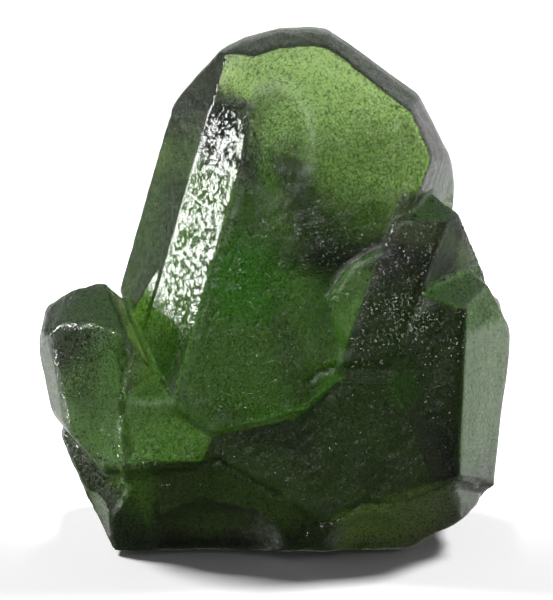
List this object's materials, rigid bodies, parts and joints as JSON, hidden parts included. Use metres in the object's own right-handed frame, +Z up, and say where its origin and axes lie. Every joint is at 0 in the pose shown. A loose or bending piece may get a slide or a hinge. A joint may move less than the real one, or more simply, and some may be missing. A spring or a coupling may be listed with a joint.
{
  "type": "peridot crystal",
  "caption": "Etched olive-green peridot crystals grown together around a thick, round-crowned tablet, broken off flat underneath so that the group stands on its own.",
  "frame": {"origin": "under the middle of the group, level with the flat broken underside it stands on", "axes": "+Z up, towards the crown of the main crystal; +Y away from the viewer, through the thickness of the group; +X to the viewer's right"},
  "size_m": [0.032, 0.0179, 0.0362],
  "materials": {
    "peridot": "clear olive-green crystal with finely etched, frosted faces and a few smooth ones"
  },
  "bodies": {
    "root": {"peridot_crystal": "peridot"}
  },
  "joints": []
}
